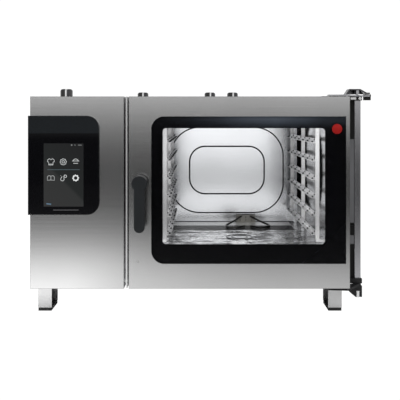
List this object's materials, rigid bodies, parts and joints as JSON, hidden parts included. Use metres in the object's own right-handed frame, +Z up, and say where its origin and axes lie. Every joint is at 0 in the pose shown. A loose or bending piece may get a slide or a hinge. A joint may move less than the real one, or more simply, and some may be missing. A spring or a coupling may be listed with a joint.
{
  "type": "combi steamer oven",
  "caption": "Table-top combi steamer with touch control glass, glazed door that swings on a side post and pushes back, hang-in racks, fan and roof vents.",
  "frame": {"origin": "on the table under the middle of the oven's bounding box", "axes": "+Z up, the front with door and controls faces -Y, the control side is -X and the door's swing post is at +X"},
  "size_m": [1.216, 0.992, 0.83],
  "materials": {
    "casing_steel": "fine brushed stainless",
    "rear_steel": "mill finish stainless",
    "chamber_steel": "bright stainless",
    "trim_steel": "brushed",
    "front_steel": "brushed stainless",
    "foot_steel": "brushed",
    "vent_steel": "satin",
    "rack_steel": "polished wire and strip",
    "post_steel": "brushed",
    "shaft_steel": "machined",
    "bolt_chrome": "zinc plated",
    "control_glass": "black gloss glass",
    "display": "screen",
    "circuit_board": "solder mask",
    "circuit_case": "moulded",
    "foot_rubber": "matt",
    "gasket_rubber": "silicone",
    "buffer_rubber": "matt",
    "wool": "mineral wool",
    "heater": "heat tinted",
    "motor_alloy": "die cast",
    "brass_fitting": "turned",
    "black_plastic": "moulded",
    "drain_plastic": "moulded",
    "clear_glass": "toughened, clear",
    "inner_glass": "coated, clear",
    "black_enamel": "gloss black print",
    "handle_plastic": "satin anthracite",
    "nylon": "nylon",
    "dark_coat": "dark grey coat"
  },
  "bodies": {
    "cabinet": {"base_tray": "casing_steel", "left_side_panel": "casing_steel", "right_side_panel": "casing_steel", "roof_panel": "casing_steel", "rear_panel": "rear_steel", "front_frame": "chamber_steel", "gap_trim_strip": "trim_steel", "control_front_panel": "front_steel", "control_glass": "control_glass", "display_screen": "display", "control_board": "circuit_board", "feet": "foot_steel", "foot_pads": "foot_rubber", "roof_vents": "vent_steel", "cavity_floor": "chamber_steel", "cavity_ceiling": "chamber_steel", "cavity_left_wall": "chamber_steel", "cavity_right_wall": "chamber_steel", "cavity_back_wall": "chamber_steel", "insulation": "wool", "suction_panel": "chamber_steel", "heating_coil": "heater", "fan_motor": "motor_alloy", "steam_injection_unit": "shaft_steel", "water_inlets": "brass_fitting", "cable_gland": "black_plastic", "drain_box": "drain_plastic", "floor_bracket": "chamber_steel", "rack_pegs": "rack_steel", "door_striker": "shaft_steel", "door_gasket": "gasket_rubber", "hinge_bracket_top": "post_steel", "hinge_bracket_bottom": "dark_coat", "pivot_pins": "shaft_steel", "power_electronics": "circuit_case"},
    "swing_frame": {"swing_post": "post_steel", "swing_arm_top": "post_steel", "swing_arm_bottom": "post_steel", "guide_shoes": "nylon", "swing_buffer": "buffer_rubber", "pivot_bushes": "nylon", "swing_castings": "dark_coat", "swing_bolts": "bolt_chrome", "slide_lock_channel": "black_plastic"},
    "door": {"door_outer_shell": "front_steel", "door_inner_frame": "chamber_steel", "door_outer_glass": "clear_glass", "door_glass_border": "black_enamel", "door_inner_panes": "inner_glass", "glass_spacers": "black_plastic", "door_rails": "shaft_steel", "handle_escutcheon": "handle_plastic", "latch_housing": "motor_alloy"},
    "handle": {"door_handle": "handle_plastic", "latch_spindle": "shaft_steel"},
    "fan": {"fan_wheel": "chamber_steel", "fan_shaft": "shaft_steel"},
    "rack_left": {"rack_left": "rack_steel"},
    "rack_right": {"rack_right": "rack_steel"},
    "strainer": {"drain_strainer": "chamber_steel"}
  },
  "joints": [
    {"name": "door_swing", "type": "hinge", "parent": "cabinet", "child": "swing_frame", "pos_m": [0.56, -0.3345, 0.45], "axis": [0, 0, 1], "range_deg": [0, 90]},
    {"name": "door_slide", "type": "slide", "parent": "swing_frame", "child": "door", "axis": [1, 0, 0], "range_m": [0, 0.6]},
    {"name": "handle_turn", "type": "hinge", "parent": "door", "child": "handle", "pos_m": [-0.217, -0.44, 0.487], "axis": [0, -1, 0], "range_deg": [0, 180]},
    {"name": "fan_spin", "type": "hinge", "parent": "cabinet", "child": "fan", "pos_m": [-0.2, 0.04, 0.462], "axis": [1, 0, 0], "continuous": true},
    {"name": "rack_left_lift", "type": "slide", "parent": "cabinet", "child": "rack_left", "axis": [0, 0, 1], "range_m": [0, 0.012]},
    {"name": "rack_right_lift", "type": "slide", "parent": "cabinet", "child": "rack_right", "axis": [0, 0, 1], "range_m": [0, 0.012]},
    {"name": "strainer_lift", "type": "slide", "parent": "cabinet", "child": "strainer", "axis": [0, 0, 1], "range_m": [0, 0.03]}
  ]
}
